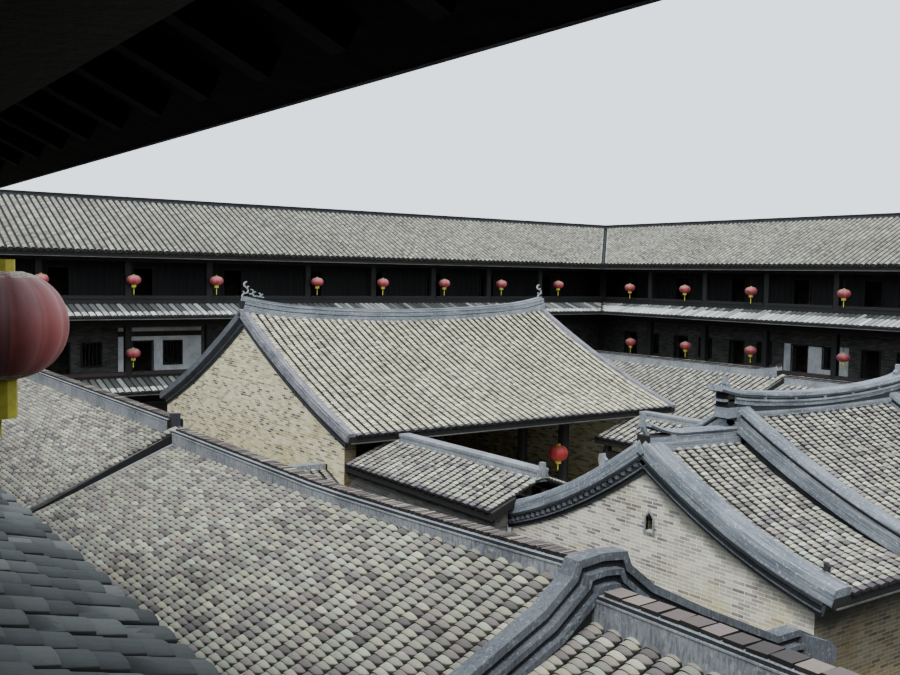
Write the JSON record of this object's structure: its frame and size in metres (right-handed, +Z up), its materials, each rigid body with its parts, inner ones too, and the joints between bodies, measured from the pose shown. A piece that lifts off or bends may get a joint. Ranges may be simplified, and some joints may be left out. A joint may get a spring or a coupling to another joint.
{
  "type": "rectangular tulou courtyard house, 1:2 scale model",
  "caption": "Three-storey rectangular courtyard tulou at half size: tiled ring of gallery rooms round a court with two halls, side galleries and side rows.",
  "frame": {"origin": "on the ground under the middle of the building", "axes": "+X east, +Y from the gate to the back of the building, +Z up"},
  "size_m": [26.35, 27.4, 5.39],
  "materials": {
    "grey_brick": "matt weathered brick",
    "roof_tile": "matt unglazed weathered tile",
    "old_timber": "dark weathered timber",
    "lime_plaster": "blue-grey lime plaster"
  },
  "bodies": {
    "root": {"north_outer_wall": "grey_brick", "east_outer_wall": "grey_brick", "south_outer_wall": "grey_brick", "west_outer_wall": "grey_brick", "north_ground_room_wall": "grey_brick", "east_ground_room_wall": "grey_brick", "south_ground_room_wall": "grey_brick", "west_ground_room_wall": "grey_brick", "north_second_storey_room_wall": "grey_brick", "east_second_storey_room_wall": "grey_brick", "south_second_storey_room_wall": "grey_brick", "west_second_storey_room_wall": "grey_brick", "north_third_storey_west_screen": "old_timber", "north_third_storey_east_screen": "old_timber", "east_third_storey_screen": "old_timber", "south_third_storey_screen": "old_timber", "west_third_storey_screen": "old_timber", "north_gallery_frame": "old_timber", "east_gallery_frame": "old_timber", "south_gallery_frame": "old_timber", "west_gallery_frame": "old_timber", "north_roof": "roof_tile", "east_roof": "roof_tile", "south_roof": "roof_tile", "west_roof": "roof_tile", "second_floor": "old_timber", "third_floor": "old_timber", "lower_pent_roof": "roof_tile", "upper_pent_roof": "roof_tile", "back_hall_roof": "roof_tile", "back_hall_west_gable": "grey_brick", "back_hall_east_gable": "grey_brick", "back_hall_rear_wall": "grey_brick", "back_hall_front_frame": "old_timber", "front_hall_centre_roof": "roof_tile", "front_hall_centre_beams": "old_timber", "front_hall_west_roof": "roof_tile", "front_hall_west_walls": "grey_brick", "front_hall_east_roof": "roof_tile", "front_hall_east_walls": "grey_brick", "west_side_gallery_roof": "roof_tile", "west_side_gallery_wall": "grey_brick", "west_side_gallery_posts": "old_timber", "east_side_gallery_roof": "roof_tile", "east_side_gallery_wall": "grey_brick", "east_side_gallery_posts": "old_timber", "west_row_north_roof": "roof_tile", "west_row_middle_roof": "roof_tile", "west_house_roof": "roof_tile", "west_row_walls": "grey_brick", "west_row_stepped_gable": "lime_plaster", "west_house_walls": "grey_brick", "east_row_north_roof": "roof_tile", "east_row_middle_roof": "roof_tile", "east_house_roof": "roof_tile", "east_row_walls": "grey_brick", "east_row_stepped_gable": "lime_plaster", "east_house_walls": "grey_brick", "west_link_roof": "roof_tile", "east_link_roof": "roof_tile"}
  },
  "joints": []
}
